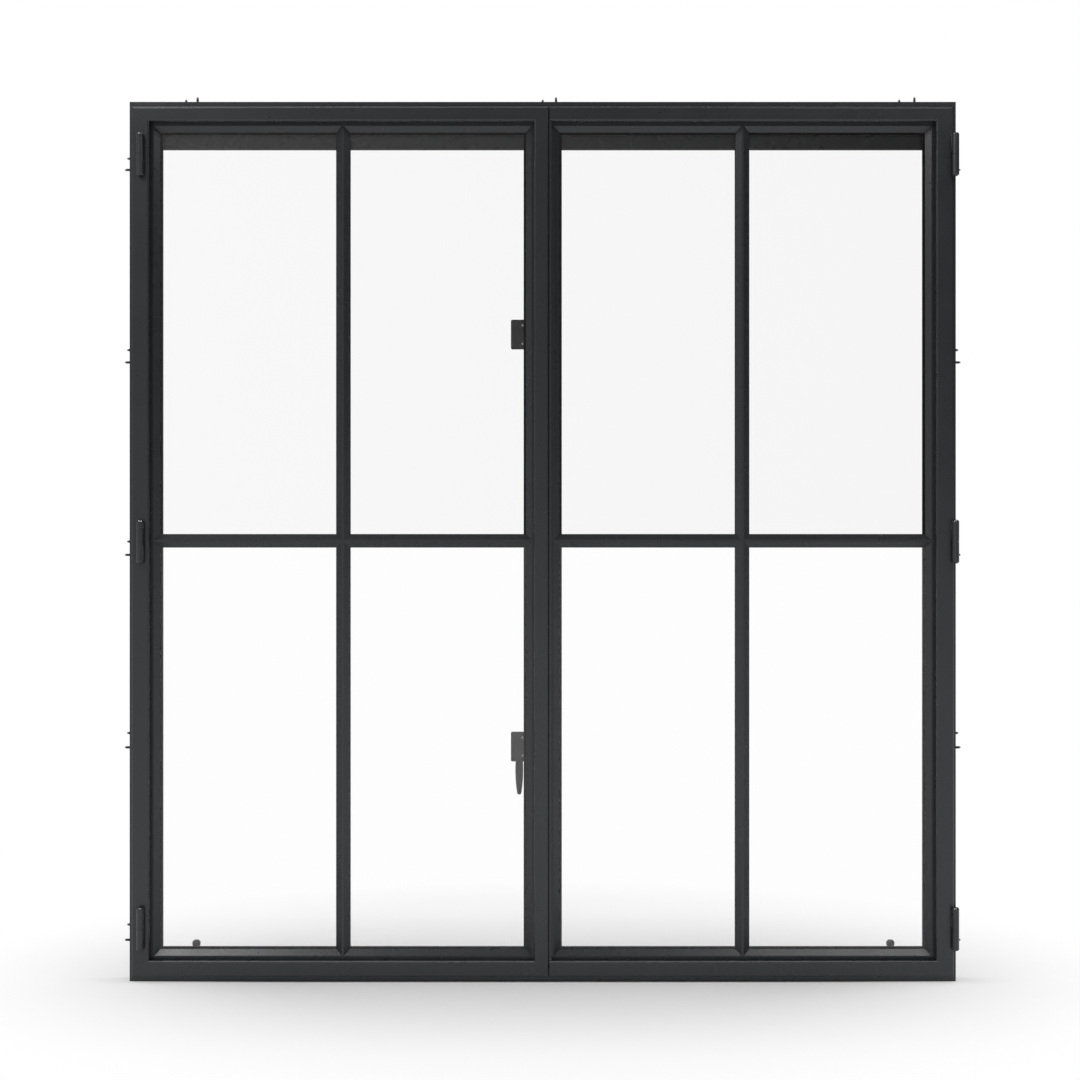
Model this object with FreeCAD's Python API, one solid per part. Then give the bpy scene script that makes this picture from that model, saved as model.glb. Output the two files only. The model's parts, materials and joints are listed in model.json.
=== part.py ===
import FreeCAD
import Part
import os
from FreeCAD import Vector

# Steel framed window: a pair of outward opening casements in a fixed channel frame.
# X runs to the right seen from outside, Y runs into the room, Z runs up.
# Depths are measured into the room from the flat outside face of the casements.

# Fixed frame
frame_width = 1550.0
frame_height = 1650.0
frame_wall = 4.0
frame_front_leg = 28.0
frame_inner_leg = 48.0
closing_gap = 3.0
inner_gap = 2.0
head_rail_height = 62.0
head_rail_wall = 4.0
head_rail_drop = 82.9
head_rail_end_gap = 12.0

# Strips of the fixed frame that show round the casements
side_margin = 5.0
head_margin = 10.3
sill_margin = 10.2

# Casement section: outer flange, web and glazing leg
leaf_wall = 3.5
leaf_depth = 34.0
flange_wall = 4.5
flange_round = 3.5
stile_flange = 33.0
top_flange = 27.3
bottom_flange = 30.3
meeting_flange = 27.4
glazing_leg = 19.8

# Meeting of the two casements
meeting_edge = 11.2
meeting_gap = 1.6
stop_bar_width = 24.0
stop_bar_wall = 3.5
stop_bar_setback = 2.0
stop_bar_end_gap = 4.0

# Glass, sloping beads and glazing bars
glass_thickness = 4.0
glass_edge_gap = 2.5
bead_height = 8.5
bead_nose = 5.0
bead_slope = 10.5
bar_web = 4.5
upright_flange = 27.4
cross_flange = 25.7

# Weld-on hinges
hinge_radius = 6.6
hinge_height = 82.0
hinge_taper = 4.0
hinge_end_radius = 5.5
hinge_gap = 0.4
hinge_pin_radius = 3.0
hinge_pin_reach = 18.0
hinge_pin_clearance = 0.08
hinge_end_inset = 101.5
hinge_seat = 0.5
hinge_lug_width = 5.0
hinge_lug_end_gap = 6.0
hinge_lug_sink = 3.0
hinge_slot_gap = 0.8
left_hinge_inset = 23.0
right_hinge_inset = 4.0
right_lug_reach = 6.0

# Fixing screws through the fixed frame
screw_radius = 2.5
screw_reach = 10.5
screw_neck = 5.6
screw_head = 7.2
screw_head_height = 2.6
screw_outer_row = 15.5
screw_inner_row = 32.0
screw_stagger = 25.0
screw_end_inset = 101.0
jamb_screw_count = 5
head_screw_count = 3

# Latches and lever on the meeting stile
latch_width = 44.0
latch_height = 56.0
latch_plate = 3.0
latch_corner = 3.0
latch_overhang = 24.1
latch_case_inset = 5.0
latch_case_height = 8.0
latch_case_bevel = 2.0
lower_latch_inset = 437.2
upper_latch_inset = 433.3
spindle_from_edge = 15.5
spindle_radius = 4.0
spindle_clearance = 0.08
spindle_depth = 7.0
lever_gap = 0.4
boss_radius = 9.0
boss_height = 8.0
lever_wall = 8.0
lever_belly = 7.4
lever_tip = 4.2
lever_length = 94.0
lever_bevel = 1.6

# Stay pegs on the sill
left_peg_inset = 116.7
right_peg_inset = 114.0
peg_stem_radius = 6.4
peg_head_radius = 7.7
peg_head_height = 9.0
peg_taper = 3.5
peg_top_radius = 4.8
peg_rise = 23.5
peg_plate_width = 36.0
peg_plate_height = 26.0
peg_plate_wall = 3.0
peg_ledge_reach = 18.0
peg_ledge_top = 44.0
peg_corner = 2.0

# Tolerance for telling edges apart
tolerance = 0.01

# Worked-out places
frame_front = flange_wall + closing_gap
frame_back = leaf_depth + inner_gap + frame_wall
leaf_face_y = -(frame_front + frame_back) / 2
glass_back = leaf_depth - leaf_wall
glass_front = glass_back - glass_thickness
bead_front = glass_front - bead_height
frame_left = -frame_width / 2
frame_right = frame_width / 2
leaf_top = frame_height - head_margin
leaf_bottom = sill_margin


def at(x, depth, z):
    return Vector(x, leaf_face_y + depth, z)


def save(node, shape):
    shape.exportStep("parts/" + node + ".step")


def prism(corners, travel):
    face = Part.Face(Part.makePolygon(corners + [corners[0]]))
    return face.extrude(travel)


def block(x0, x1, depth0, depth1, z0, z1):
    return Part.makeBox(x1 - x0, depth1 - depth0, z1 - z0, at(x0, depth0, z0))


def turned(outline):
    """Turn an outline of (radius, height) points about the Z axis."""
    corners = [Vector(radius, 0, height) for radius, height in outline]
    face = Part.Face(Part.makePolygon(corners + [corners[0]]))
    return face.revolve(Vector(0, 0, 0), Vector(0, 0, 1), 360)


def square_bar(side, start, end):
    """Square bar along the Z axis."""
    return Part.makeBox(side, side, end - start, Vector(-side / 2, -side / 2, start))


def plan_prism(outline, depth0, depth1):
    corners = [at(x, depth0, z) for x, z in outline]
    return prism(corners, Vector(0, depth1 - depth0, 0))


class Opening:
    """A rectangle seen from outside, with its four corners and its four sides."""

    def __init__(self, left, right, bottom, top):
        self.left = left
        self.right = right
        self.bottom = bottom
        self.top = top

    def inset(self, left, right, bottom, top):
        return Opening(self.left + left, self.right - right, self.bottom + bottom, self.top - top)

    def corners(self, side):
        lower_left = (self.left, self.bottom)
        lower_right = (self.right, self.bottom)
        upper_left = (self.left, self.top)
        upper_right = (self.right, self.top)
        ends = {
            "bottom": (lower_left, lower_right),
            "top": (upper_left, upper_right),
            "left": (lower_left, upper_left),
            "right": (lower_right, upper_right),
        }
        return ends[side]

    def side_bar(self, side, section):
        """Extrude a section along one whole side. Section points are (inward, depth)."""
        if side in ("left", "right"):
            sign = 1 if side == "left" else -1
            edge = self.left if side == "left" else self.right
            corners = [at(edge + sign * inward, depth, self.bottom) for inward, depth in section]
            return prism(corners, Vector(0, 0, self.top - self.bottom))
        sign = 1 if side == "bottom" else -1
        edge = self.bottom if side == "bottom" else self.top
        corners = [at(self.left, depth, edge + sign * inward) for inward, depth in section]
        return prism(corners, Vector(self.right - self.left, 0, 0))


def mitred(bar, nest, side):
    """Trim a side bar to the corner lines of nested rectangles, outermost first."""
    starts = [rectangle.corners(side)[0] for rectangle in nest]
    ends = [rectangle.corners(side)[1] for rectangle in nest]
    box = bar.BoundBox
    trim = plan_prism(starts + ends[::-1], box.YMin - leaf_face_y, box.YMax - leaf_face_y)
    return bar.common(trim).removeSplitter()


# Fixed frame
frame_outer = Opening(frame_left, frame_right, 0, frame_height)


def channel_section():
    """Lipped channel: web on the wall side, short front leg, longer inner leg."""
    return [
        (0, frame_front),
        (frame_front_leg, frame_front),
        (frame_front_leg, frame_front + frame_wall),
        (frame_wall, frame_front + frame_wall),
        (frame_wall, frame_back - frame_wall),
        (frame_inner_leg, frame_back - frame_wall),
        (frame_inner_leg, frame_back),
        (0, frame_back),
    ]


def frame_member(side):
    depth = frame_inner_leg
    inner = frame_outer.inset(depth, depth, depth, depth)
    return mitred(frame_outer.side_bar(side, channel_section()), [frame_outer, inner], side)


# Fixing screws
def pointing(shape, place, outward):
    """Set a shape made along the Z axis at a place, pointing outward."""
    shape.Placement = FreeCAD.Placement(place, FreeCAD.Rotation(Vector(0, 0, 1), outward))
    return shape


def fixing_screw(place, outward):
    """Screw from inside the channel: square head, square neck in the punched hole, round shank outside."""
    shank = Part.makeCylinder(screw_radius, screw_reach)
    neck = square_bar(screw_neck, -frame_wall, 0)
    head = square_bar(screw_head, -frame_wall - screw_head_height, -frame_wall)
    return pointing(shank.fuse([neck, head]).removeSplitter(), place, outward)


def screw_hole(place, outward):
    return pointing(square_bar(screw_neck, -frame_wall, 0), place, outward)


def row(first, last, count):
    step = (last - first) / (count - 1)
    return [first + step * index for index in range(count)]


def screw_seats(side):
    """Places of one side's screws: an inner row, and an outer row staggered from it."""
    if side == "top":
        runs = row(frame_left + screw_end_inset, frame_right - screw_end_inset, head_screw_count)
        inner = [at(x, screw_inner_row, frame_height) for x in runs]
        outer = [at(x + screw_stagger, screw_outer_row, frame_height) for x in runs]
        return inner + outer, Vector(0, 0, 1)
    edge = frame_left if side == "left" else frame_right
    outward = Vector(-1, 0, 0) if side == "left" else Vector(1, 0, 0)
    runs = row(screw_end_inset, frame_height - screw_end_inset, jamb_screw_count)
    inner = [at(edge, screw_inner_row, z) for z in runs]
    outer = [at(edge, screw_outer_row, z - screw_stagger) for z in runs]
    return inner + outer, outward


def make_fixed_frame():
    names = {"left": "left_jamb", "right": "right_jamb", "top": "head", "bottom": "sill"}
    for side, name in names.items():
        member = frame_member(side)
        if side != "bottom":
            seats, outward = screw_seats(side)
            screws = [fixing_screw(seat, outward) for seat in seats]
            holes = [screw_hole(seat, outward) for seat in seats]
            member = member.cut(Part.makeCompound(holes))
            save(name + "_fixing_screws", Part.makeCompound(screws))
        save("frame_" + name, member)
    rail_reach = frame_width / 2 - head_rail_end_gap
    rail_bottom = frame_height - head_rail_drop
    rail = block(-rail_reach, rail_reach, frame_back, frame_back + head_rail_wall,
                 rail_bottom, rail_bottom + head_rail_height)
    save("inner_head_rail", rail)


# Casements
class Leaf:
    """One casement: its outer rectangle, the line of its webs and its glazing lines."""

    def __init__(self, name, left, right, left_flange, right_flange):
        self.name = name
        self.outer = Opening(left, right, leaf_bottom, leaf_top)
        self.flanges = {"left": left_flange, "right": right_flange,
                        "bottom": bottom_flange, "top": top_flange}
        self.webs = self.outer.inset(left_flange, right_flange, bottom_flange, top_flange)
        self.sight = self.webs.inset(glazing_leg, glazing_leg, glazing_leg, glazing_leg)
        self.bar_x = (self.sight.left + self.sight.right) / 2
        self.bar_z = (self.sight.bottom + self.sight.top) / 2

    def panes(self):
        half = bar_web / 2
        columns = {"left": (self.webs.left, self.bar_x - half),
                   "right": (self.bar_x + half, self.webs.right)}
        rows = {"lower": (self.webs.bottom, self.bar_z - half),
                "upper": (self.bar_z + half, self.webs.top)}
        found = {}
        for level, (bottom, top) in rows.items():
            for hand, (left, right) in columns.items():
                found[level + "_" + hand] = Opening(left, right, bottom, top)
        return found


left_leaf = Leaf("left", frame_left + side_margin, meeting_edge, stile_flange, meeting_flange)
right_leaf = Leaf("right", meeting_edge + meeting_gap, frame_right - side_margin,
                  leaf_wall, stile_flange)


def flanged_section(flange):
    """Rolled Z section: outside flange, web and glazing leg."""
    web = flange - leaf_wall
    leg = flange + glazing_leg
    return [
        (0, 0),
        (flange, 0),
        (flange, glass_back),
        (leg, glass_back),
        (leg, leaf_depth),
        (web, leaf_depth),
        (web, flange_wall),
        (0, flange_wall),
    ]


def flanged_bar(leaf, side):
    """One side of a casement before its ends are cut, with the flange's outside edges rounded."""
    flange = leaf.flanges[side]
    bar = leaf.outer.side_bar(side, flanged_section(flange))
    face_edges = [edge for edge in bar.Edges if edge.BoundBox.YMax < leaf_face_y + tolerance]
    long_edges = [edge for edge in face_edges if edge.Length > flange + tolerance]
    return bar.makeFillet(flange_round, long_edges)


def leaf_member(leaf, side):
    return mitred(flanged_bar(leaf, side), [leaf.outer, leaf.webs, leaf.sight], side)


def open_ended_rail(leaf, side):
    """A rail that is mitred at the hinge side and square at the meeting side."""
    square_webs = Opening(leaf.outer.left, leaf.webs.right, leaf.webs.bottom, leaf.webs.top)
    square_sight = Opening(leaf.outer.left, leaf.sight.right, leaf.sight.bottom, leaf.sight.top)
    return mitred(flanged_bar(leaf, side), [leaf.outer, square_webs, square_sight], side)


def angle_stile(leaf):
    """The covered meeting stile: an angle with stepped ends between the rails."""
    web = block(leaf.outer.left, leaf.webs.left, 0, glass_back, leaf.webs.bottom, leaf.webs.top)
    leg = block(leaf.outer.left, leaf.sight.left, glass_back, leaf_depth,
                leaf.sight.bottom, leaf.sight.top)
    return web.fuse(leg).removeSplitter()


def upright_bar(leaf):
    """T bar whose web runs on over the rails' legs to their webs."""
    half = bar_web / 2
    web = block(leaf.bar_x - half, leaf.bar_x + half, bead_front, glass_back,
                leaf.webs.bottom, leaf.webs.top)
    flange = block(leaf.bar_x - upright_flange / 2, leaf.bar_x + upright_flange / 2, glass_back, leaf_depth,
                   leaf.sight.bottom, leaf.sight.top)
    return web.fuse(flange).removeSplitter()


def cross_bar_pieces(leaf):
    """T bars each side of the upright bar, stepped over the stile leg and the upright's flange."""
    half = bar_web / 2
    pieces = []
    spans = [
        (leaf.webs.left, leaf.bar_x - half, leaf.sight.left, leaf.bar_x - upright_flange / 2),
        (leaf.bar_x + half, leaf.webs.right, leaf.bar_x + upright_flange / 2, leaf.sight.right),
    ]
    for web_left, web_right, flange_left, flange_right in spans:
        web = block(web_left, web_right, bead_front, glass_back, leaf.bar_z - half, leaf.bar_z + half)
        flange = block(flange_left, flange_right, glass_back, leaf_depth,
                       leaf.bar_z - cross_flange / 2, leaf.bar_z + cross_flange / 2)
        pieces.append(web.fuse(flange).removeSplitter())
    return Part.makeCompound(pieces)


def bead_strip(pane, side, noses):
    """One sloping bead. It meets its neighbours where the two slopes cross."""
    nose = noses[side]
    reach = nose + bead_slope
    section = [(0, glass_front), (0, bead_front)]
    if nose > 0:
        section.append((nose, bead_front))
    section.append((reach, glass_front))
    strip = pane.side_bar(side, section)
    noses_only = pane.inset(noses["left"], noses["right"], noses["bottom"], noses["top"])
    slope = bead_slope
    slopes = noses_only.inset(slope, slope, slope, slope)
    outline = bead_outline(pane, noses_only, slopes, side, noses)
    return strip.common(plan_prism(outline, bead_front, glass_front)).removeSplitter()


def bead_outline(pane, noses_only, slopes, side, noses):
    """Outline of a bead from outside: its wall line, then its two corner lines."""
    neighbours = {"bottom": ("left", "right"), "top": ("left", "right"),
                  "left": ("bottom", "top"), "right": ("bottom", "top")}
    outline_start = corner_line(pane, noses_only, slopes, side, neighbours[side][0], 0, noses)
    outline_end = corner_line(pane, noses_only, slopes, side, neighbours[side][1], 1, noses)
    return outline_start + outline_end[::-1]


def corner_line(pane, noses_only, slopes, side, neighbour, end, noses):
    """Corner points from the wall to the inner edge of the slope."""
    wall = pane.corners(side)[end]
    nose = noses_only.corners(side)[end]
    inner = slopes.corners(side)[end]
    if noses[side] == noses[neighbour]:
        return [wall, inner]
    if noses[side] > noses[neighbour]:
        return [wall, nose, inner]
    return [nose, inner]


def bead_noses(level, hand):
    """Beads on the casement's own members have a flat nose, those on the bars have none."""
    noses = {"left": 0, "right": 0, "bottom": 0, "top": 0}
    noses[hand] = bead_nose
    noses["top" if level == "upper" else "bottom"] = bead_nose
    return noses


def make_glazing(leaf):
    uprights = []
    crosses = []
    for name, pane in leaf.panes().items():
        level, hand = name.split("_")
        gap = glass_edge_gap
        sheet = pane.inset(gap, gap, gap, gap)
        glass = block(sheet.left, sheet.right, glass_front, glass_back, sheet.bottom, sheet.top)
        save(leaf.name + "_leaf_" + level + "_" + hand + "_pane", glass)
        noses = bead_noses(level, hand)
        uprights += [bead_strip(pane, side, noses) for side in ("left", "right")]
        crosses += [bead_strip(pane, side, noses) for side in ("bottom", "top")]
    save(leaf.name + "_leaf_upright_beads", Part.makeCompound(uprights))
    save(leaf.name + "_leaf_cross_beads", Part.makeCompound(crosses))
    save(leaf.name + "_leaf_upright_bar", upright_bar(leaf))
    save(leaf.name + "_leaf_cross_bar", cross_bar_pieces(leaf))


# Hinges
hinge_levels = ("lower", "middle", "upper")
hinge_heights = row(hinge_end_inset, frame_height - hinge_end_inset, len(hinge_levels))
left_hinge_x = frame_left + left_hinge_inset
right_hinge_x = frame_right - right_hinge_inset
hinge_depth = -hinge_radius - hinge_seat


def hinge(x, z, leaf_lug, frame_lug):
    """Pin hinge: the upper half is welded to the casement, the lower half with its pin to the fixed frame."""
    straight = hinge_height / 2 - hinge_taper
    bore_radius = hinge_pin_radius + hinge_pin_clearance
    bore_end = hinge_pin_reach + hinge_gap
    lug_height = straight - hinge_lug_end_gap
    lug_base = hinge_gap / 2 + hinge_lug_end_gap / 2
    upper = turned([
        (bore_radius, 0),
        (hinge_radius, 0),
        (hinge_radius, straight),
        (hinge_end_radius, hinge_height / 2),
        (0, hinge_height / 2),
        (0, bore_end),
        (bore_radius, bore_end),
    ])
    lower = turned([
        (0, hinge_pin_reach),
        (hinge_pin_radius, hinge_pin_reach),
        (hinge_pin_radius, 0),
        (hinge_radius, 0),
        (hinge_radius, -straight),
        (hinge_end_radius, -hinge_height / 2),
        (0, -hinge_height / 2),
    ])
    place = at(x, hinge_depth, z)
    upper.translate(place + Vector(0, 0, hinge_gap / 2))
    lower.translate(place - Vector(0, 0, hinge_gap / 2))
    lug_front = hinge_depth + hinge_radius - hinge_lug_sink
    upper_lug = block(leaf_lug[0], leaf_lug[1], lug_front, 0,
                      z + lug_base, z + lug_base + lug_height)
    lower_lug = block(frame_lug[0], frame_lug[1], lug_front, frame_front,
                      z - lug_base - lug_height, z - lug_base)
    upper = upper.fuse(upper_lug).removeSplitter()
    lower = lower.fuse(lower_lug).removeSplitter()
    return upper, lower, lower_lug


def make_hinges():
    """Save the six hinges and return the slots that the left stile needs for their lugs."""
    slots = []
    half_lug = hinge_lug_width / 2
    gap = hinge_slot_gap
    left_lug = (left_hinge_x - half_lug, left_hinge_x + half_lug)
    right_leaf_lug = (right_leaf.outer.right - right_lug_reach, right_leaf.outer.right)
    right_frame_lug = (right_leaf.outer.right + gap, frame_right)
    for level, z in zip(hinge_levels, hinge_heights):
        upper, lower, lug = hinge(left_hinge_x, z, left_lug, left_lug)
        save("left_" + level + "_hinge", Part.makeCompound([upper, lower]))
        box = lug.BoundBox
        slots.append(Part.makeBox(box.XLength + 2 * gap, flange_wall, box.ZLength + 2 * gap,
                                  Vector(box.XMin - gap, leaf_face_y, box.ZMin - gap)))
        upper, lower, lug = hinge(right_hinge_x, z, right_leaf_lug, right_frame_lug)
        save("right_" + level + "_hinge", Part.makeCompound([upper, lower]))
    return slots


def make_leaves(slots):
    names = {"left": "hinge_stile", "right": "meeting_stile", "bottom": "bottom_rail", "top": "top_rail"}
    for side, name in names.items():
        member = leaf_member(left_leaf, side)
        if side == "left":
            member = member.cut(Part.makeCompound(slots))
        save("left_leaf_" + name, member)
    save("right_leaf_hinge_stile", leaf_member(right_leaf, "right"))
    save("right_leaf_top_rail", open_ended_rail(right_leaf, "top"))
    save("right_leaf_bottom_rail", open_ended_rail(right_leaf, "bottom"))
    save("right_leaf_meeting_stile", angle_stile(right_leaf))
    stop_front = flange_wall + stop_bar_setback
    stop_end = frame_front_leg + stop_bar_end_gap
    stop = block(right_leaf.outer.left - stop_bar_width, right_leaf.outer.left,
                 stop_front, stop_front + stop_bar_wall, stop_end, frame_height - stop_end)
    save("meeting_stop_bar", stop)
    make_glazing(left_leaf)
    make_glazing(right_leaf)


# Latches and lever
latch_left = left_leaf.sight.right - latch_overhang
spindle_x = latch_left + spindle_from_edge
latch_back = leaf_depth + latch_plate + latch_case_height


def rounded_block(x0, x1, depth0, depth1, z0, z1, corner):
    shape = block(x0, x1, depth0, depth1, z0, z1)
    along = [edge for edge in shape.Edges if edge.BoundBox.YLength > tolerance]
    return shape.makeFillet(corner, along)


def latch(z):
    """Rim latch: a plate on the stile's leg and a shallow case on the room side."""
    bottom = z - latch_height / 2
    top = z + latch_height / 2
    right = latch_left + latch_width
    inset = latch_case_inset
    plate_back = leaf_depth + latch_plate
    plate = rounded_block(latch_left, right, leaf_depth, plate_back, bottom, top, latch_corner)
    case = rounded_block(latch_left + inset, right - inset, plate_back, latch_back,
                         bottom + inset, top - inset, latch_corner)
    rim = [edge for edge in case.Edges if edge.BoundBox.YMin > leaf_face_y + latch_back - tolerance]
    case = case.makeChamfer(latch_case_bevel, rim)
    return plate.fuse(case).removeSplitter()


def lever(z):
    """Hanging lever: a boss on its spindle and a bellied grip whose sides run smoothly into a round end."""
    front = latch_back + lever_gap
    middle = Vector(spindle_x, leaf_face_y, z)
    inward = Vector(0, 1, 0)
    spindle = Part.makeCylinder(spindle_radius, spindle_depth + lever_gap,
                                middle + inward * (latch_back - spindle_depth), inward)
    boss = Part.makeCylinder(boss_radius, boss_height + lever_wall, middle + inward * front, inward)
    grip_front = front + boss_height
    belly = z - lever_length / 2
    tip_middle = z - lever_length + lever_tip
    drop = belly - tip_middle
    side_radius = (lever_belly ** 2 + drop ** 2 - lever_tip ** 2) / (2 * (lever_belly - lever_tip))
    lean = lever_tip / (side_radius - lever_tip)
    join = lean * (side_radius - lever_belly)
    join_height = tip_middle - lean * drop
    root = lever_belly - side_radius + (side_radius ** 2 - (z - belly) ** 2) ** 0.5

    def spot(across, height):
        return at(spindle_x + across, grip_front, height)

    right_side = Part.Arc(spot(root, z), spot(lever_belly, belly), spot(join, join_height))
    end = Part.Arc(spot(join, join_height), spot(0, z - lever_length), spot(-join, join_height))
    left_side = Part.Arc(spot(-join, join_height), spot(-lever_belly, belly), spot(-root, z))
    top = Part.LineSegment(spot(-root, z), spot(root, z))
    wire = Part.Wire([curve.toShape() for curve in (right_side, end, left_side, top)])
    grip = Part.Face(wire).extrude(inward * lever_wall)
    flat = [edge for edge in grip.Edges if edge.BoundBox.YLength < tolerance]
    rims = [edge for edge in flat if edge.BoundBox.ZLength > tolerance]
    grip = grip.makeChamfer(lever_bevel, rims)
    return boss.fuse(grip).fuse(spindle).removeSplitter()


def make_latches():
    low = lower_latch_inset
    high = frame_height - upper_latch_inset
    save("upper_latch", latch(high))
    socket = Part.makeCylinder(spindle_radius + spindle_clearance, spindle_depth,
                               Vector(spindle_x, leaf_face_y + latch_back - spindle_depth, low),
                               Vector(0, 1, 0))
    save("lower_latch", latch(low).cut(socket))
    save("latch_lever", lever(low))


# Stay pegs
def stay_peg(x):
    """Turned peg on a small ledge bracket at the room side of the sill."""
    half = peg_plate_width / 2
    plate_back = frame_back + peg_plate_wall
    plate = rounded_block(x - half, x + half, frame_back, plate_back,
                          peg_ledge_top - peg_plate_height, peg_ledge_top, peg_corner)
    ledge = block(x - half, x + half, plate_back, frame_back + peg_ledge_reach,
                  peg_ledge_top - peg_plate_wall, peg_ledge_top)
    foot = at(x, frame_back + (peg_plate_wall + peg_ledge_reach) / 2, peg_ledge_top)
    peg = turned([
        (0, 0),
        (peg_stem_radius, 0),
        (peg_stem_radius, peg_rise - peg_head_height),
        (peg_head_radius, peg_rise - peg_head_height),
        (peg_head_radius, peg_rise - peg_taper),
        (peg_top_radius, peg_rise),
        (0, peg_rise),
    ])
    peg.translate(foot)
    return plate.fuse([ledge, peg]).removeSplitter()


def make_pegs():
    save("left_stay_peg", stay_peg(frame_left + left_peg_inset))
    save("right_stay_peg", stay_peg(frame_right - right_peg_inset))


os.makedirs("parts", exist_ok=True)
make_fixed_frame()
make_leaves(make_hinges())
make_latches()
make_pegs()
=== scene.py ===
import json
import math

import bmesh
import bpy
from mathutils import Matrix, Vector

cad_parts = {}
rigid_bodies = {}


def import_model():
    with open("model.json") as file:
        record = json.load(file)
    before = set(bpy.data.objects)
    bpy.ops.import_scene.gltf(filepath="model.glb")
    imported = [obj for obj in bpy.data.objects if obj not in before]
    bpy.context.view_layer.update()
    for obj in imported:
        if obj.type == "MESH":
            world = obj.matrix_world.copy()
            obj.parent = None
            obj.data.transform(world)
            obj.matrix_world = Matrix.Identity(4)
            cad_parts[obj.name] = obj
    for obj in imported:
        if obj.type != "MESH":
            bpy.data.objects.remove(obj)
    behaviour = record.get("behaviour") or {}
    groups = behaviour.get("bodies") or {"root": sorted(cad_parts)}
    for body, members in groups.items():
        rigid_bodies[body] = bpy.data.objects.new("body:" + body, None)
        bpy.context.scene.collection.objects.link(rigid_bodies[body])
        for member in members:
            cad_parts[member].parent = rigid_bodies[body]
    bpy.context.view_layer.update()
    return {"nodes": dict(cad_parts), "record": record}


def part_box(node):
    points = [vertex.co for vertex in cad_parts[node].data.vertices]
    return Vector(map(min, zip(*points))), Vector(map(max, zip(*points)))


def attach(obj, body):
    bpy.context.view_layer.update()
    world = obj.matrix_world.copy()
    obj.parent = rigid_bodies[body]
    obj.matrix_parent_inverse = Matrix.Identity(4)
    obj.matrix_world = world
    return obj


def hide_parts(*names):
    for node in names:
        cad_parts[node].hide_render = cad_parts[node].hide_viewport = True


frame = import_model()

bl_info = {
    "name": "Steel Framed Window",
    "version": (1, 0, 0),
    "blender": (4, 5, 0),
    "location": "3D View > Sidebar > Steel Window",
    "description": "Finishes, small fasteners and studio of a steel framed casement window",
    "category": "Object",
}

millimetre = 0.001
merge_distance = 0.001 * millimetre
powder_coat = "Powder coated steel"

# Socket numbers of a colour Mix node, because several of its sockets share a name.
mix_share = 0
mix_from = 6
mix_to = 7
mix_result = 2


def linear(hex_colour):
    """Turn an sRGB hex colour into linear red, green and blue."""
    channels = [int(hex_colour[place:place + 2], 16) / 255 for place in (1, 3, 5)]
    return tuple(c / 12.92 if c <= 0.04045 else ((c + 0.055) / 1.055) ** 2.4 for c in channels)


def shade(colour, share):
    """A linear colour with full alpha, made lighter or darker by a share."""
    return tuple(channel * share for channel in colour) + (1.0,)


def colour_property(name, description, hex_colour):
    """A colour that the user can change."""
    return bpy.props.FloatVectorProperty(name=name, description=description, subtype="COLOR",
                                         size=3, min=0, max=1, default=linear(hex_colour))


def length_property(name, description, metres):
    """A length that the user can change."""
    return bpy.props.FloatProperty(name=name, description=description, unit="LENGTH", default=metres)


def brightness_property(name, description, brightness):
    """The brightness of a light that the user can change, where 1 is white."""
    return bpy.props.FloatProperty(name=name, description=description, default=brightness)


class WindowFinish(bpy.types.PropertyGroup):
    """Colours of the window's materials and thickness of its putty."""
    paint: colour_property("Paint", "Powder coat of the steel frame and casements", "#25272a")
    ironmongery: colour_property("Ironmongery", "Coating of the latches, lever and pegs", "#1f2021")
    zinc: colour_property("Zinc", "Dull plating of the fixing screws", "#77797b")
    bright_steel: colour_property("Bright steel", "Bare ends of the latch screws", "#d6d7d8")
    glass: colour_property("Glass", "Tint of the panes", "#fdfdfd")
    putty: colour_property("Putty", "Bedding between the glass and the steel", "#1b1c1d")
    putty_film: length_property("Putty film", "Thickness of the bedding", 0.3 * millimetre)


class WindowFasteners(bpy.types.PropertyGroup):
    """Sizes of the hinges' ends, the threads and the latch screws."""
    hinge_dome: length_property("Hinge dome", "Height of the dome at a hinge's end", 4.0 * millimetre)
    thread_pitch: length_property("Thread pitch", "Distance between the threads of a fixing screw",
                                  1.4 * millimetre)
    thread_depth: length_property("Thread depth", "How far the threads are cut in", 0.55 * millimetre)
    latch_screw_radius: length_property("Latch screw radius", "Radius of a latch screw's head",
                                        2.0 * millimetre)
    latch_screw_height: length_property("Latch screw height", "Height of a latch screw's head",
                                        1.3 * millimetre)
    latch_screw_inset: length_property("Latch screw inset", "From a latch's free edge to its screws",
                                       22.0 * millimetre)
    latch_screw_spacing: length_property("Latch screw spacing", "Between the two screws of a latch",
                                         34.4 * millimetre)


class WindowStage(bpy.types.PropertyGroup):
    """Camera, floor and light."""
    camera_distance: length_property("Camera distance", "From the lens to the casements' outside face", 3.1)
    camera_height: length_property("Camera height", "Height of the lens above the floor", 0.828)
    camera_offset: length_property("Camera offset", "Lens to the right of the window's middle", -0.0051)
    view_width: length_property("View width", "Width of the picture at the casements' face", 2.0214)
    floor_size: length_property("Floor size", "Length of a side of the floor", 400.0)
    floor: colour_property("Floor", "Colour of the floor", "#f6f6f6")
    shadow_reach: length_property("Shadow reach", "How far out the floor shows its full shadow", 0.45)
    shadow_fade: length_property("Shadow fade", "Distance over which the shadow fades out", 0.7)
    studio_light: brightness_property("Studio light", "Brightness of the studio all round", 0.2)
    left_light: brightness_property("Left light", "Brightness of the left side seen in gloss", 0.5)
    right_light: brightness_property("Right light", "Brightness of the right side seen in gloss", 0.06)


groups = {"window_finish": WindowFinish, "window_fasteners": WindowFasteners, "window_stage": WindowStage}


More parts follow.
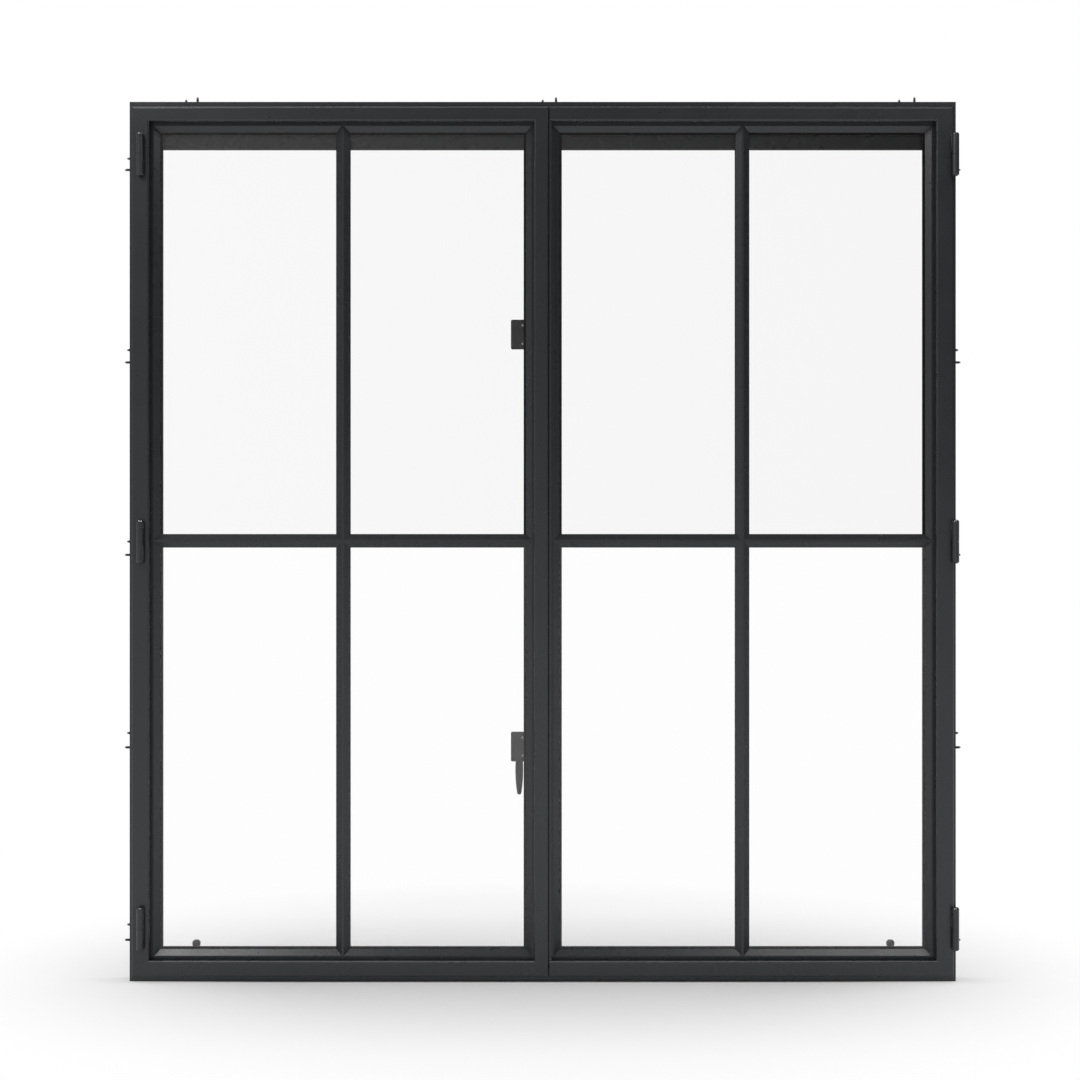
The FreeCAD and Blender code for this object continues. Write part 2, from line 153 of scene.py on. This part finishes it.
def add_node(tree, kind, settings=None, links=None):
    """Add one node, set its fields and sockets by name or number, and link its sockets."""
    node = tree.nodes.new(kind)
    for name, value in (settings or {}).items():
        if isinstance(name, str) and hasattr(node, name):
            setattr(node, name, value)
        else:
            node.inputs[name].default_value = value
    for name, source in (links or {}).items():
        tree.links.new(source, node.inputs[name])
    return node


def new_material(name):
    """An empty node material and its tree."""
    material = bpy.data.materials.new(name)
    material.use_nodes = True
    material.node_tree.nodes.clear()
    return material, material.node_tree


def coated_metal(name, colour, roughness, peel):
    """Powder coat: an even colour with a faint cloudiness and the soft ripple of melted powder."""
    cloud_size = 140 * millimetre
    patch_size = 45 * millimetre
    peel_depth = 0.1 * millimetre
    uneven_gloss = 0.05
    material, tree = new_material(name)
    place = add_node(tree, "ShaderNodeTexCoord").outputs["Object"]
    clouds = add_node(tree, "ShaderNodeTexNoise", {"Scale": 1 / cloud_size, "Detail": 3},
                      {"Vector": place})
    tone = add_node(tree, "ShaderNodeMix",
                    {"data_type": "RGBA", mix_from: shade(colour, 0.9), mix_to: shade(colour, 1.1)},
                    {mix_share: clouds.outputs["Fac"]})
    patches = add_node(tree, "ShaderNodeTexNoise", {"Scale": 1 / patch_size, "Detail": 2},
                       {"Vector": place})
    gloss = add_node(tree, "ShaderNodeMapRange",
                     {"To Min": roughness - uneven_gloss, "To Max": roughness + uneven_gloss},
                     {"Value": patches.outputs["Fac"]})
    orange_peel = add_node(tree, "ShaderNodeTexNoise", {"Scale": 1 / peel, "Detail": 1},
                           {"Vector": place})
    ripple = add_node(tree, "ShaderNodeBump", {"Strength": 0.06, "Distance": peel_depth},
                      {"Height": orange_peel.outputs["Fac"]})
    shader = add_node(tree, "ShaderNodeBsdfPrincipled", {"IOR": 1.5},
                      {"Base Color": tone.outputs[mix_result], "Roughness": gloss.outputs["Result"],
                       "Normal": ripple.outputs["Normal"]})
    add_node(tree, "ShaderNodeOutputMaterial", links={"Surface": shader.outputs["BSDF"]})
    return material


def bare_metal(name, colour, roughness, grain_size):
    """Metal with a fine uneven grain, as plating or a turned end has."""
    uneven_gloss = 0.08
    material, tree = new_material(name)
    place = add_node(tree, "ShaderNodeTexCoord").outputs["Object"]
    grain = add_node(tree, "ShaderNodeTexNoise", {"Scale": 1 / grain_size, "Detail": 4},
                     {"Vector": place})
    tone = add_node(tree, "ShaderNodeMix",
                    {"data_type": "RGBA", mix_from: shade(colour, 0.8), mix_to: shade(colour, 1.15)},
                    {mix_share: grain.outputs["Fac"]})
    gloss = add_node(tree, "ShaderNodeMapRange",
                     {"To Min": roughness - uneven_gloss, "To Max": roughness + uneven_gloss},
                     {"Value": grain.outputs["Fac"]})
    shader = add_node(tree, "ShaderNodeBsdfPrincipled", {"Metallic": 1.0},
                      {"Base Color": tone.outputs[mix_result], "Roughness": gloss.outputs["Result"]})
    add_node(tree, "ShaderNodeOutputMaterial", links={"Surface": shader.outputs["BSDF"]})
    return material


def dull_putty(name, colour):
    """Putty: dark and dull, with a slightly uneven tone."""
    lump_size = 6 * millimetre
    material, tree = new_material(name)
    place = add_node(tree, "ShaderNodeTexCoord").outputs["Object"]
    lumps = add_node(tree, "ShaderNodeTexNoise", {"Scale": 1 / lump_size, "Detail": 2},
                     {"Vector": place})
    tone = add_node(tree, "ShaderNodeMix",
                    {"data_type": "RGBA", mix_from: shade(colour, 0.8), mix_to: shade(colour, 1.2)},
                    {mix_share: lumps.outputs["Fac"]})
    shader = add_node(tree, "ShaderNodeBsdfPrincipled", {"Roughness": 0.9, "Specular IOR Level": 0.0},
                      {"Base Color": tone.outputs[mix_result]})
    add_node(tree, "ShaderNodeOutputMaterial", links={"Surface": shader.outputs["BSDF"]})
    return material


def float_glass(name, colour):
    """Clear float glass: almost no tint and a very slow wave in its faces."""
    wave_length = 400 * millimetre
    wave_depth = 0.3 * millimetre
    material, tree = new_material(name)
    place = add_node(tree, "ShaderNodeTexCoord").outputs["Object"]
    wave = add_node(tree, "ShaderNodeTexNoise", {"Scale": 1 / wave_length, "Detail": 1},
                    {"Vector": place})
    surface = add_node(tree, "ShaderNodeBump", {"Strength": 0.05, "Distance": wave_depth},
                       {"Height": wave.outputs["Fac"]})
    shader = add_node(tree, "ShaderNodeBsdfPrincipled",
                      {"Base Color": shade(colour, 1), "Roughness": 0.0, "IOR": 1.52,
                       "Transmission Weight": 1.0},
                      {"Normal": surface.outputs["Normal"]})
    add_node(tree, "ShaderNodeOutputMaterial", links={"Surface": shader.outputs["BSDF"]})
    return material


def nodes_in_slot(slot):
    """Names of the CAD nodes that use one of the record's slots."""
    return [part["node"] for part in frame["record"]["subparts"] if part["material_slot"] == slot]


def dress(slot, material):
    """Give a material to every CAD node of one of the record's slots."""
    names = nodes_in_slot(slot)
    if not names:
        raise RuntimeError("no node uses the slot " + slot)
    for name in names:
        for place in frame["nodes"][name].material_slots:
            place.material = material


def mesh_from(name, shape):
    """A mesh from a bmesh, which is freed."""
    mesh = bpy.data.meshes.new(name)
    shape.to_mesh(mesh)
    shape.free()
    return mesh


def add_object(name, data):
    """An object in the scene for a mesh, a lamp or a camera."""
    item = bpy.data.objects.new(name, data)
    bpy.context.scene.collection.objects.link(item)
    return item


def finished_piece(name, shape, material):
    """A piece of one material from a bmesh, which is freed."""
    bmesh.ops.recalc_face_normals(shape, faces=shape.faces)
    mesh = mesh_from(name, shape)
    mesh.materials.append(material)
    return add_object(name, mesh)


def place_copies(name, mesh, places, material):
    """One piece made of copies of a mesh, each moved and turned by its own matrix."""
    shape = bmesh.new()
    for matrix in places:
        known = len(shape.verts)
        shape.from_mesh(mesh)
        shape.verts.ensure_lookup_table()
        bmesh.ops.transform(shape, matrix=matrix, verts=shape.verts[known:])
    bpy.data.meshes.remove(mesh)
    return finished_piece(name, shape, material)


def smooth_sides(piece, degrees):
    """Shade round faces smoothly and keep edges sharper than an angle."""
    piece.data.shade_smooth()
    piece.data.set_sharp_from_angle(angle=math.radians(degrees))


def lathe(outline, sides):
    """Mesh of an outline of (radius, height) points turned about the Z axis."""
    shape = bmesh.new()
    points = [shape.verts.new((radius, 0, height)) for radius, height in outline]
    edges = [shape.edges.new(pair) for pair in zip(points, points[1:])]
    bmesh.ops.spin(shape, geom=points + edges, cent=(0, 0, 0), axis=(0, 0, 1), dvec=(0, 0, 0),
                   angle=2 * math.pi, steps=sides, use_merge=True, use_duplicate=False)
    bmesh.ops.remove_doubles(shape, verts=shape.verts, dist=merge_distance)
    bmesh.ops.recalc_face_normals(shape, faces=shape.faces)
    return mesh_from("turned", shape)


def dome_outline(radius, height, rings):
    """Points of a dome on a flat seat, to be turned."""
    points = [(0, 0)]
    for ring in range(rings + 1):
        turn = ring / rings * math.pi / 2
        points.append((radius * math.cos(turn), height * math.sin(turn)))
    return points


def pointing(place, direction):
    """Matrix that sets the Z axis along a direction at a place."""
    turn = Vector((0, 0, 1)).rotation_difference(Vector(direction))
    return Matrix.Translation(place) @ turn.to_matrix().to_4x4()


def merged_copy(node):
    """Bmesh of a CAD node, with the corners that its loose triangles share merged."""
    shape = bmesh.new()
    shape.from_mesh(frame["nodes"][node].data)
    bmesh.ops.remove_doubles(shape, verts=shape.verts, dist=merge_distance)
    return shape


def island_boxes(node):
    """Lowest and highest corners of each separate solid of a CAD node."""
    shape = merged_copy(node)
    unseen = set(shape.verts)
    boxes = []
    while unseen:
        front = [unseen.pop()]
        found = list(front)
        while front:
            near = {edge.other_vert(vert) for vert in front for edge in vert.link_edges}
            front = list(near & unseen)
            unseen -= near
            found += front
        low = Vector([min(vert.co[axis] for vert in found) for axis in range(3)])
        high = Vector([max(vert.co[axis] for vert in found) for axis in range(3)])
        boxes.append((low, high))
    shape.free()
    return boxes


class WINDOW_OT_paint_steelwork(bpy.types.Operator):
    """Powder coat the fixed frame, casements, bars, beads and hinges"""
    bl_idname = "steel_window.paint_steelwork"
    bl_label = "Paint Steelwork"

    def execute(self, context):
        finish = context.scene.window_finish
        # Satin powder coat on rolled steel: soft grey sheen. The ripple is drawn at 3 mm so that it shows.
        paint = coated_metal(powder_coat, finish.paint, roughness=0.28, peel=3 * millimetre)
        dress("painted_steel", paint)
        return {"FINISHED"}


class WINDOW_OT_dome_hinges(bpy.types.Operator):
    """Replace the hinges by hinges whose ends are turned to a dome"""
    bl_idname = "steel_window.dome_hinges"
    bl_label = "Dome Hinge Ends"

    def execute(self, context):
        dome = context.scene.window_fasteners.hinge_dome
        paint = bpy.data.materials[powder_coat]
        hinges = [node for node in nodes_in_slot("painted_steel") if node.endswith("_hinge")]
        if not hinges:
            raise RuntimeError("the frame has no hinge")
        for node in hinges:
            shape = merged_copy(node)
            low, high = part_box(node)
            self.dome_end(shape, low.z, -1, dome)
            self.dome_end(shape, high.z, 1, dome)
            piece = finished_piece("domed_" + node, shape, paint)
            smooth_sides(piece, degrees=25)
            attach(piece, "window")
            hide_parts(node)
        return {"FINISHED"}

    def dome_end(self, shape, end, outward, dome):
        """Cut a hinge off short of one end and set a turned dome on the cut."""
        near = 0.01 * millimetre
        tip = [vert.co.copy() for vert in shape.verts if abs(vert.co.z - end) < near]
        x = (min(point.x for point in tip) + max(point.x for point in tip)) / 2
        y = (min(point.y for point in tip) + max(point.y for point in tip)) / 2
        base = end - outward * dome
        everything = shape.verts[:] + shape.edges[:] + shape.faces[:]
        bmesh.ops.bisect_plane(shape, geom=everything, plane_co=(0, 0, base), plane_no=(0, 0, outward),
                               dist=near, clear_outer=True)
        rim = [edge for edge in shape.edges if edge.is_boundary]
        radius = max(math.hypot(vert.co.x - x, vert.co.y - y) for edge in rim for vert in edge.verts)
        bmesh.ops.holes_fill(shape, edges=rim)
        cap = lathe(dome_outline(radius, dome, rings=8), sides=48)
        cap.transform(pointing((x, y, base), (0, 0, outward)))
        shape.from_mesh(cap)
        bpy.data.meshes.remove(cap)


class WINDOW_OT_glaze(bpy.types.Operator):
    """Replace the panes by clear float glass with ground edges, bedded in putty"""
    bl_idname = "steel_window.glaze"
    bl_label = "Glaze Panes"

    def execute(self, context):
        finish = context.scene.window_finish
        # Float glass: clear and even, so the white room behind shows through it with only a slow waver.
        glass = float_glass("Clear float glass", finish.glass)
        # Linseed putty squeezed thin: seen through the glass it is dark and has no gloss of its own.
        putty = dull_putty("Linseed putty", finish.putty)
        film = Vector((0, finish.putty_film, 0))
        # The glass sinks into the putty and the putty stays off the steel, so that no faces coincide.
        pressed = Vector((0, 0.02 * millimetre, 0))
        steel_gap = Vector((0, 0.005 * millimetre, 0))
        for leaf in ("left_leaf_", "right_leaf_"):
            beds = bmesh.new()
            for row in ("lower", "upper"):
                for side in ("left", "right"):
                    node = leaf + row + "_" + side + "_pane"
                    low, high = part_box(node)
                    piece = self.ground_pane("ground_" + node, low, high - film + pressed, glass)
                    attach(piece, "window")
                    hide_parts(node)
                    sight = self.sight_of(leaf, row, side)
                    self.spread_putty(beds, low, high - steel_gap, high.y - finish.putty_film, sight)
            piece = finished_piece(leaf + "putty", beds, putty)
            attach(piece, "window")
        return {"FINISHED"}

    def ground_pane(self, name, low, high, glass):
        """A pane between two corners, with the sharp edges of its cut sides ground off."""
        ground = 0.4 * millimetre
        shape = bmesh.new()
        size = Matrix.Diagonal((high - low).to_4d())
        bmesh.ops.create_cube(shape, size=1, matrix=Matrix.Translation((low + high) / 2) @ size)
        bmesh.ops.bevel(shape, geom=shape.edges[:], offset=ground, affect="EDGES", segments=1,
                        profile=0.5, material=-1)
        return finished_piece(name, shape, glass)

    def sight_of(self, leaf, row, side):
        """Left, right, bottom and top of what shows of a pane between the legs and the bars."""
        stiles = ["hinge_stile", "meeting_stile"]
        if leaf == "right_leaf_":
            stiles.reverse()
        upright_low, upright_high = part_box(leaf + "upright_bar")
        cross_low, cross_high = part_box(leaf + "cross_bar")
        left, right = upright_high.x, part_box(leaf + stiles[1])[0].x
        if side == "left":
            left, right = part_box(leaf + stiles[0])[1].x, upright_low.x
        bottom, top = cross_high.z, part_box(leaf + "top_rail")[0].z
        if row == "lower":
            bottom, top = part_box(leaf + "bottom_rail")[1].z, cross_low.z
        return left, right, bottom, top

    def spread_putty(self, shape, low, high, front, sight):
        """A flat ring of putty from the cut edge of a pane to just short of the steel's edge."""
        trim = 0.3 * millimetre
        left, right, bottom, top = sight
        inner = (left - trim, right + trim, bottom - trim, top + trim)
        outer = (low.x + trim, high.x - trim, low.z + trim, high.z - trim)
        loops = []
        for left, right, bottom, top in (outer, inner):
            corners = [(left, bottom), (right, bottom), (right, top), (left, top)]
            points = [shape.verts.new((x, high.y, z)) for x, z in corners]
            loops += [shape.edges.new((points[step - 1], points[step])) for step in range(4)]
        ring = bmesh.ops.bridge_loops(shape, edges=loops)["faces"]
        grown = bmesh.ops.extrude_face_region(shape, geom=ring)["geom"]
        moved = [item for item in grown if isinstance(item, bmesh.types.BMVert)]
        bmesh.ops.translate(shape, vec=(0, front - high.y, 0), verts=moved)


class WINDOW_OT_finish_ironmongery(bpy.types.Operator):
    """Coat the latches, the lever and the pegs"""
    bl_idname = "steel_window.finish_ironmongery"
    bl_label = "Finish Ironmongery"

    def execute(self, context):
        finish = context.scene.window_finish
        # Thinner coat on cast parts: duller than the frame, with a finer ripple drawn at 2 mm.
        coat = coated_metal("Coated iron castings", finish.ironmongery, roughness=0.55, peel=2 * millimetre)
        dress("ironmongery_grey", coat)
        return {"FINISHED"}


class WINDOW_OT_thread_screws(bpy.types.Operator):
    """Replace the fixing screws by screws with threads"""
    bl_idname = "steel_window.thread_screws"
    bl_label = "Thread Fixing Screws"

    def execute(self, context):
        scene = context.scene
        # Dull zinc plate: grey metal with a cloudy grain, drawn at 3 mm so that it shows.
        zinc = bare_metal("Zinc plated steel", scene.window_finish.zinc, roughness=0.42,
                          grain_size=3 * millimetre)
        sides = {"left_jamb_fixing_screws": Vector((-1, 0, 0)),
                 "right_jamb_fixing_screws": Vector((1, 0, 0)),
                 "head_fixing_screws": Vector((0, 0, 1))}
        for node, outward in sides.items():
            boxes = island_boxes(node)
            low, high = boxes[0]
            length = abs((high - low).dot(outward))
            places = []
            for low, high in boxes:
                middle = (low + high) / 2
                places.append(pointing(middle - outward * length / 2, outward))
            mesh = self.screw_mesh(scene.window_fasteners, length)
            piece = place_copies("threaded_" + node, mesh, places, zinc)
            smooth_sides(piece, degrees=25)
            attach(piece, "window")
            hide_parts(node)
        return {"FINISHED"}

    def screw_mesh(self, sizes, length):
        """Square head with softened edges, square neck in the frame's hole, and a threaded shank."""
        head = 7.2 * millimetre
        head_height = 2.6 * millimetre
        head_round = 0.5 * millimetre
        neck = 5.6 * millimetre
        neck_end = head_height + 4 * millimetre
        shape = bmesh.new()
        bmesh.ops.create_cube(shape, size=1, matrix=self.square_bar(head, 0, head_height))
        bmesh.ops.bevel(shape, geom=shape.edges[:], offset=head_round, affect="EDGES", segments=2,
                        profile=0.5, material=-1)
        bmesh.ops.create_cube(shape, size=1, matrix=self.square_bar(neck, head_height, neck_end))
        shank = lathe(self.thread_outline(sizes, neck_end, length), sides=16)
        shape.from_mesh(shank)
        bpy.data.meshes.remove(shank)
        return mesh_from("screw", shape)

    def square_bar(self, side, start, end):
        """Matrix that stretches a unit cube to a square bar along the Z axis."""
        middle = Matrix.Translation((0, 0, (start + end) / 2))
        return middle @ Matrix.Diagonal((side, side, end - start, 1))

    def thread_outline(self, sizes, start, length):
        """Ridges of the thread from the frame's face to a blunt end."""
        shank_radius = 2.5 * millimetre
        tip = 0.8 * millimetre
        root_radius = shank_radius - sizes.thread_depth
        half_pitch = sizes.thread_pitch / 2
        points = [(0, start)]
        height = start
        while height + sizes.thread_pitch < length - tip:
            points.append((root_radius, height))
            points.append((shank_radius, height + half_pitch))
            height += sizes.thread_pitch
        points.append((root_radius, height))
        points.append((root_radius - tip / 2, length))
        points.append((0, length))
        return points


class WINDOW_OT_add_latch_screws(bpy.types.Operator):
    """Set the bright screws that go through each latch"""
    bl_idname = "steel_window.add_latch_screws"
    bl_label = "Add Latch Screws"

    def execute(self, context):
        scene = context.scene
        # Turned steel ends: bright and smooth, with a faint grain drawn at 1 mm.
        steel = bare_metal("Turned bright steel", scene.window_finish.bright_steel, roughness=0.3,
                           grain_size=1 * millimetre)
        sizes = scene.window_fasteners
        for latch in ("upper_latch", "lower_latch"):
            low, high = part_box(latch)
            middle = (low.z + high.z) / 2
            places = []
            for side in (-1, 1):
                z = middle + side * sizes.latch_screw_spacing / 2
                x = low.x + sizes.latch_screw_inset
                places.append(pointing((x, low.y, z), (0, -1, 0)))
                places.append(pointing((x, high.y, z), (0, 1, 0)))
            head = dome_outline(sizes.latch_screw_radius, sizes.latch_screw_height, rings=6)
            piece = place_copies(latch + "_screws", lathe(head, sides=24), places, steel)
            smooth_sides(piece, degrees=40)
            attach(piece, "window")
        return {"FINISHED"}


class WINDOW_OT_set_stage(bpy.types.Operator):
    """Set the floor, the light and the camera"""
    bl_idname = "steel_window.set_stage"
    bl_label = "Set Stage"

    def execute(self, context):
        scene = context.scene
        stage = scene.window_stage
        scene.view_settings.view_transform = "Standard"
        floor = self.lay_floor(stage)
        self.paint_room(scene, stage)
        self.hang_lamps(floor)
        self.set_camera(scene, stage)
        return {"FINISHED"}

    def ray_kinds(self, tree):
        """The light path, and a node that is one for rays from gloss and through glass."""
        path = add_node(tree, "ShaderNodeLightPath")
        through = add_node(tree, "ShaderNodeMath", {"operation": "MAXIMUM"},
                           {0: path.outputs["Is Glossy Ray"], 1: path.outputs["Is Transmission Ray"]})
        return path, through

    def lay_floor(self, stage):
        """A white floor: it shows shadow in an oval round the window and looks like paper beyond it."""
        oval_shift = (0, -0.12, 0)
        oval_squeeze = (0.97, 1.35, 1)
        material, tree = new_material("White studio floor")
        path, through = self.ray_kinds(tree)
        seen = add_node(tree, "ShaderNodeMath", {"operation": "MAXIMUM"},
                        {0: path.outputs["Is Camera Ray"], 1: through.outputs["Value"]})
        place = add_node(tree, "ShaderNodeTexCoord").outputs["Object"]
        oval = add_node(tree, "ShaderNodeMapping", {"Location": oval_shift, "Scale": oval_squeeze},
                        {"Vector": place})
        away = add_node(tree, "ShaderNodeVectorMath", {"operation": "LENGTH"},
                        {0: oval.outputs["Vector"]})
        far = add_node(tree, "ShaderNodeMapRange",
                       {"interpolation_type": "SMOOTHSTEP", "From Min": stage.shadow_reach,
                        "From Max": stage.shadow_reach + stage.shadow_fade},
                       {"Value": away.outputs["Value"]})
        fade = add_node(tree, "ShaderNodeMath", {"operation": "MULTIPLY"},
                        {0: far.outputs["Result"], 1: seen.outputs["Value"]})
        matte = add_node(tree, "ShaderNodeBsdfDiffuse", {"Color": shade(stage.floor, 1)})
        paper = add_node(tree, "ShaderNodeEmission", {"Color": (1, 1, 1, 1), "Strength": 1.0})
        both = add_node(tree, "ShaderNodeMixShader",
                        links={0: fade.outputs["Value"], 1: matte.outputs["BSDF"],
                               2: paper.outputs["Emission"]})
        add_node(tree, "ShaderNodeOutputMaterial", links={"Surface": both.outputs["Shader"]})
        shape = bmesh.new()
        bmesh.ops.create_grid(shape, x_segments=1, y_segments=1, size=stage.floor_size / 2)
        mesh = mesh_from("studio_floor", shape)
        mesh.materials.append(material)
        floor = add_object("studio_floor", mesh)
        return floor

    def paint_room(self, scene, stage):
        """A white room whose sides look darker in the sheen of the paint."""
        # A direction's Y part: above the first it meets the white back wall, below the second a dim side.
        back_wall = 0.94
        back_wall_end = 0.88
        # A direction's X part: from minus this to plus this the left brightness turns into the right one.
        side_wall = 0.3
        # Bounces are whole numbers, so fewer than this is none.
        one_bounce = 0.5
        world = bpy.data.worlds.new("White studio")
        world.use_nodes = True
        world.cycles.sampling_method = "NONE"
        tree = world.node_tree
        tree.nodes.clear()
        path, through = self.ray_kinds(tree)
        towards = add_node(tree, "ShaderNodeSeparateXYZ",
                           links={0: add_node(tree, "ShaderNodeTexCoord").outputs["Generated"]})
        sides = add_node(tree, "ShaderNodeMapRange",
                         {"interpolation_type": "SMOOTHSTEP", "From Min": back_wall,
                          "From Max": back_wall_end},
                         {"Value": towards.outputs["Y"]})
        walls = add_node(tree, "ShaderNodeMapRange",
                         {"From Min": -side_wall, "From Max": side_wall, "To Min": stage.left_light,
                          "To Max": stage.right_light},
                         {"Value": towards.outputs["X"]})
        direct = add_node(tree, "ShaderNodeMath", {"operation": "LESS_THAN", 1: one_bounce},
                          {0: path.outputs["Diffuse Depth"]})
        sheen = add_node(tree, "ShaderNodeMath", {"operation": "MULTIPLY"},
                         {0: through.outputs["Value"], 1: direct.outputs["Value"]})
        mirrored = add_node(tree, "ShaderNodeMath", {"operation": "GREATER_THAN", 1: one_bounce},
                            {0: path.outputs["Glossy Depth"]})
        gloss = add_node(tree, "ShaderNodeMath", {"operation": "MULTIPLY"},
                         {0: sheen.outputs["Value"], 1: mirrored.outputs["Value"]})
        dark = add_node(tree, "ShaderNodeMath", {"operation": "MULTIPLY"},
                        {0: gloss.outputs["Value"], 1: sides.outputs["Result"]})
        seen = add_node(tree, "ShaderNodeMath", {"operation": "MAXIMUM"},
                        {0: path.outputs["Is Camera Ray"], 1: sheen.outputs["Value"]})
        white = add_node(tree, "ShaderNodeMapRange", {"To Min": stage.studio_light, "To Max": 1.0},
                         {"Value": seen.outputs["Value"]})
        strength = add_node(tree, "ShaderNodeMix", {"data_type": "FLOAT"},
                            {0: dark.outputs["Value"], 2: white.outputs["Result"],
                             3: walls.outputs["Result"]})
        room = add_node(tree, "ShaderNodeBackground", {"Color": (1, 1, 1, 1)},
                        {"Strength": strength.outputs[0]})
        add_node(tree, "ShaderNodeOutputWorld", links={"Surface": room.outputs["Background"]})
        scene.world = world

    def hang_lamps(self, floor):
        """Soft boxes for the window and for the floor, and lamps for the gloss of a few pieces."""
        rails = [frame["nodes"][name] for name in ("left_leaf_bottom_rail", "right_leaf_bottom_rail")]
        hinges = [item for item in bpy.data.objects if item.name.startswith("domed_")]
        floor_only = self.receivers("lit_floor", [floor], "INCLUDE")
        window_only = self.receivers("unlit_floor", [floor], "EXCLUDE")
        rails_only = self.receivers("lit_bottom_rails", rails, "INCLUDE")
        hinges_only = self.receivers("lit_hinges", hinges, "INCLUDE")
        middle = (0, 0, 0.82)
        # Each lamp's name, place, aim, width, height, brightness and what it lights.
        lamps = [
            ("corner_left", (-1.55, -1.3, 2.7), (-0.6, 0, 0), 1.1, 0.6, 10, window_only),
            ("corner_right", (1.42, -1.3, 2.7), (0.6, 0, 0), 1.5, 0.6, 5.4, window_only),
            ("front_strip", (-0.2, -4.5, 6.4), middle, 3.2, 0.8, 2.5, window_only),
            ("back_strip", (-0.2, 0.6, 2.9), middle, 2.6, 0.8, 3.5, window_only),
            ("front_fill", (0, -2.2, 0.25), middle, 1.6, 0.4, 5, window_only),
            ("rail_strip", (0, -4.5, 2.65), (0, 0, 0), 4, 1, 10, rails_only),
            ("hinge_spot_left", (-2.2, -1.5, 4.6), (-0.76, 0, 0.8), 1, 1, 110, hinges_only),
            ("hinge_spot_right", (1.3, -1.7, 4.6), (0.78, 0, 0.8), 1, 1, 110, hinges_only),
            ("floor_soft_box", (0, -0.04, 3.2), (0, -0.04, 0), 4.4, 0.9, 8.5, floor_only),
        ]
        for name, place, aim, width, height, brightness, lit in lamps:
            lamp = self.hang_lamp(name, Vector(place), Vector(aim), width, height, brightness)
            lamp.light_linking.receiver_collection = lit
        for name in ("front_fill", "floor_soft_box"):
            bpy.data.objects[name].visible_glossy = False
        for name in ("rail_strip", "hinge_spot_left", "hinge_spot_right"):
            bpy.data.objects[name].visible_diffuse = False

    def receivers(self, name, objects, state):
        """Collection that tells a lamp to light only some objects, or all but them."""
        collection = bpy.data.collections.new(name)
        for item in objects:
            collection.objects.link(item)
        for member in collection.collection_objects:
            member.light_linking.link_state = state
        return collection

    def hang_lamp(self, name, place, aim, width, height, brightness):
        """A lamp that glass doesn't show: brightness is that of its face, where 1 is white."""
        light = bpy.data.lights.new(name, "AREA")
        light.shape = "RECTANGLE"
        light.size = width
        light.size_y = height
        light.energy = brightness * math.pi * width * height
        lamp = add_object(name, light)
        lamp.rotation_euler = (aim - place).to_track_quat("-Z", "Y").to_euler()
        lamp.location = place
        lamp.visible_transmission = False
        return lamp

    def set_camera(self, scene, stage):
        """A level camera that looks straight at the outside of the casements."""
        level = math.radians(90)
        data = bpy.data.cameras.new("photo_camera")
        data.sensor_fit = "HORIZONTAL"
        data.lens = data.sensor_width * stage.camera_distance / stage.view_width
        face = min(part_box("left_leaf_top_rail")[0].y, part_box("right_leaf_top_rail")[0].y)
        camera = add_object("photo_camera", data)
        camera.location = (stage.camera_offset, face - stage.camera_distance, stage.camera_height)
        camera.rotation_euler = (level, 0, 0)
        scene.camera = camera


operators = (
    WINDOW_OT_paint_steelwork,
    WINDOW_OT_dome_hinges,
    WINDOW_OT_glaze,
    WINDOW_OT_finish_ironmongery,
    WINDOW_OT_thread_screws,
    WINDOW_OT_add_latch_screws,
    WINDOW_OT_set_stage,
)


class WINDOW_PT_steel_window(bpy.types.Panel):
    """Finishes and steps of the steel window"""
    bl_label = "Steel Window"
    bl_space_type = "VIEW_3D"
    bl_region_type = "UI"
    bl_category = "Steel Window"

    def draw(self, context):
        for operator in operators:
            self.layout.operator(operator.bl_idname)
        for name, group in groups.items():
            box = self.layout.box()
            for field in group.__annotations__:
                box.prop(getattr(context.scene, name), field)


def register():
    for name, group in groups.items():
        bpy.utils.register_class(group)
        setattr(bpy.types.Scene, name, bpy.props.PointerProperty(type=group))
    for operator in operators:
        bpy.utils.register_class(operator)
    bpy.utils.register_class(WINDOW_PT_steel_window)


def unregister():
    bpy.utils.unregister_class(WINDOW_PT_steel_window)
    for operator in reversed(operators):
        bpy.utils.unregister_class(operator)
    for name, group in reversed(groups.items()):
        delattr(bpy.types.Scene, name)
        bpy.utils.unregister_class(group)


def main():
    register()
    bpy.ops.steel_window.paint_steelwork()
    bpy.ops.steel_window.dome_hinges()
    bpy.ops.steel_window.glaze()
    bpy.ops.steel_window.finish_ironmongery()
    bpy.ops.steel_window.thread_screws()
    bpy.ops.steel_window.add_latch_screws()
    bpy.ops.steel_window.set_stage()


if __name__ == "__main__":
    main()
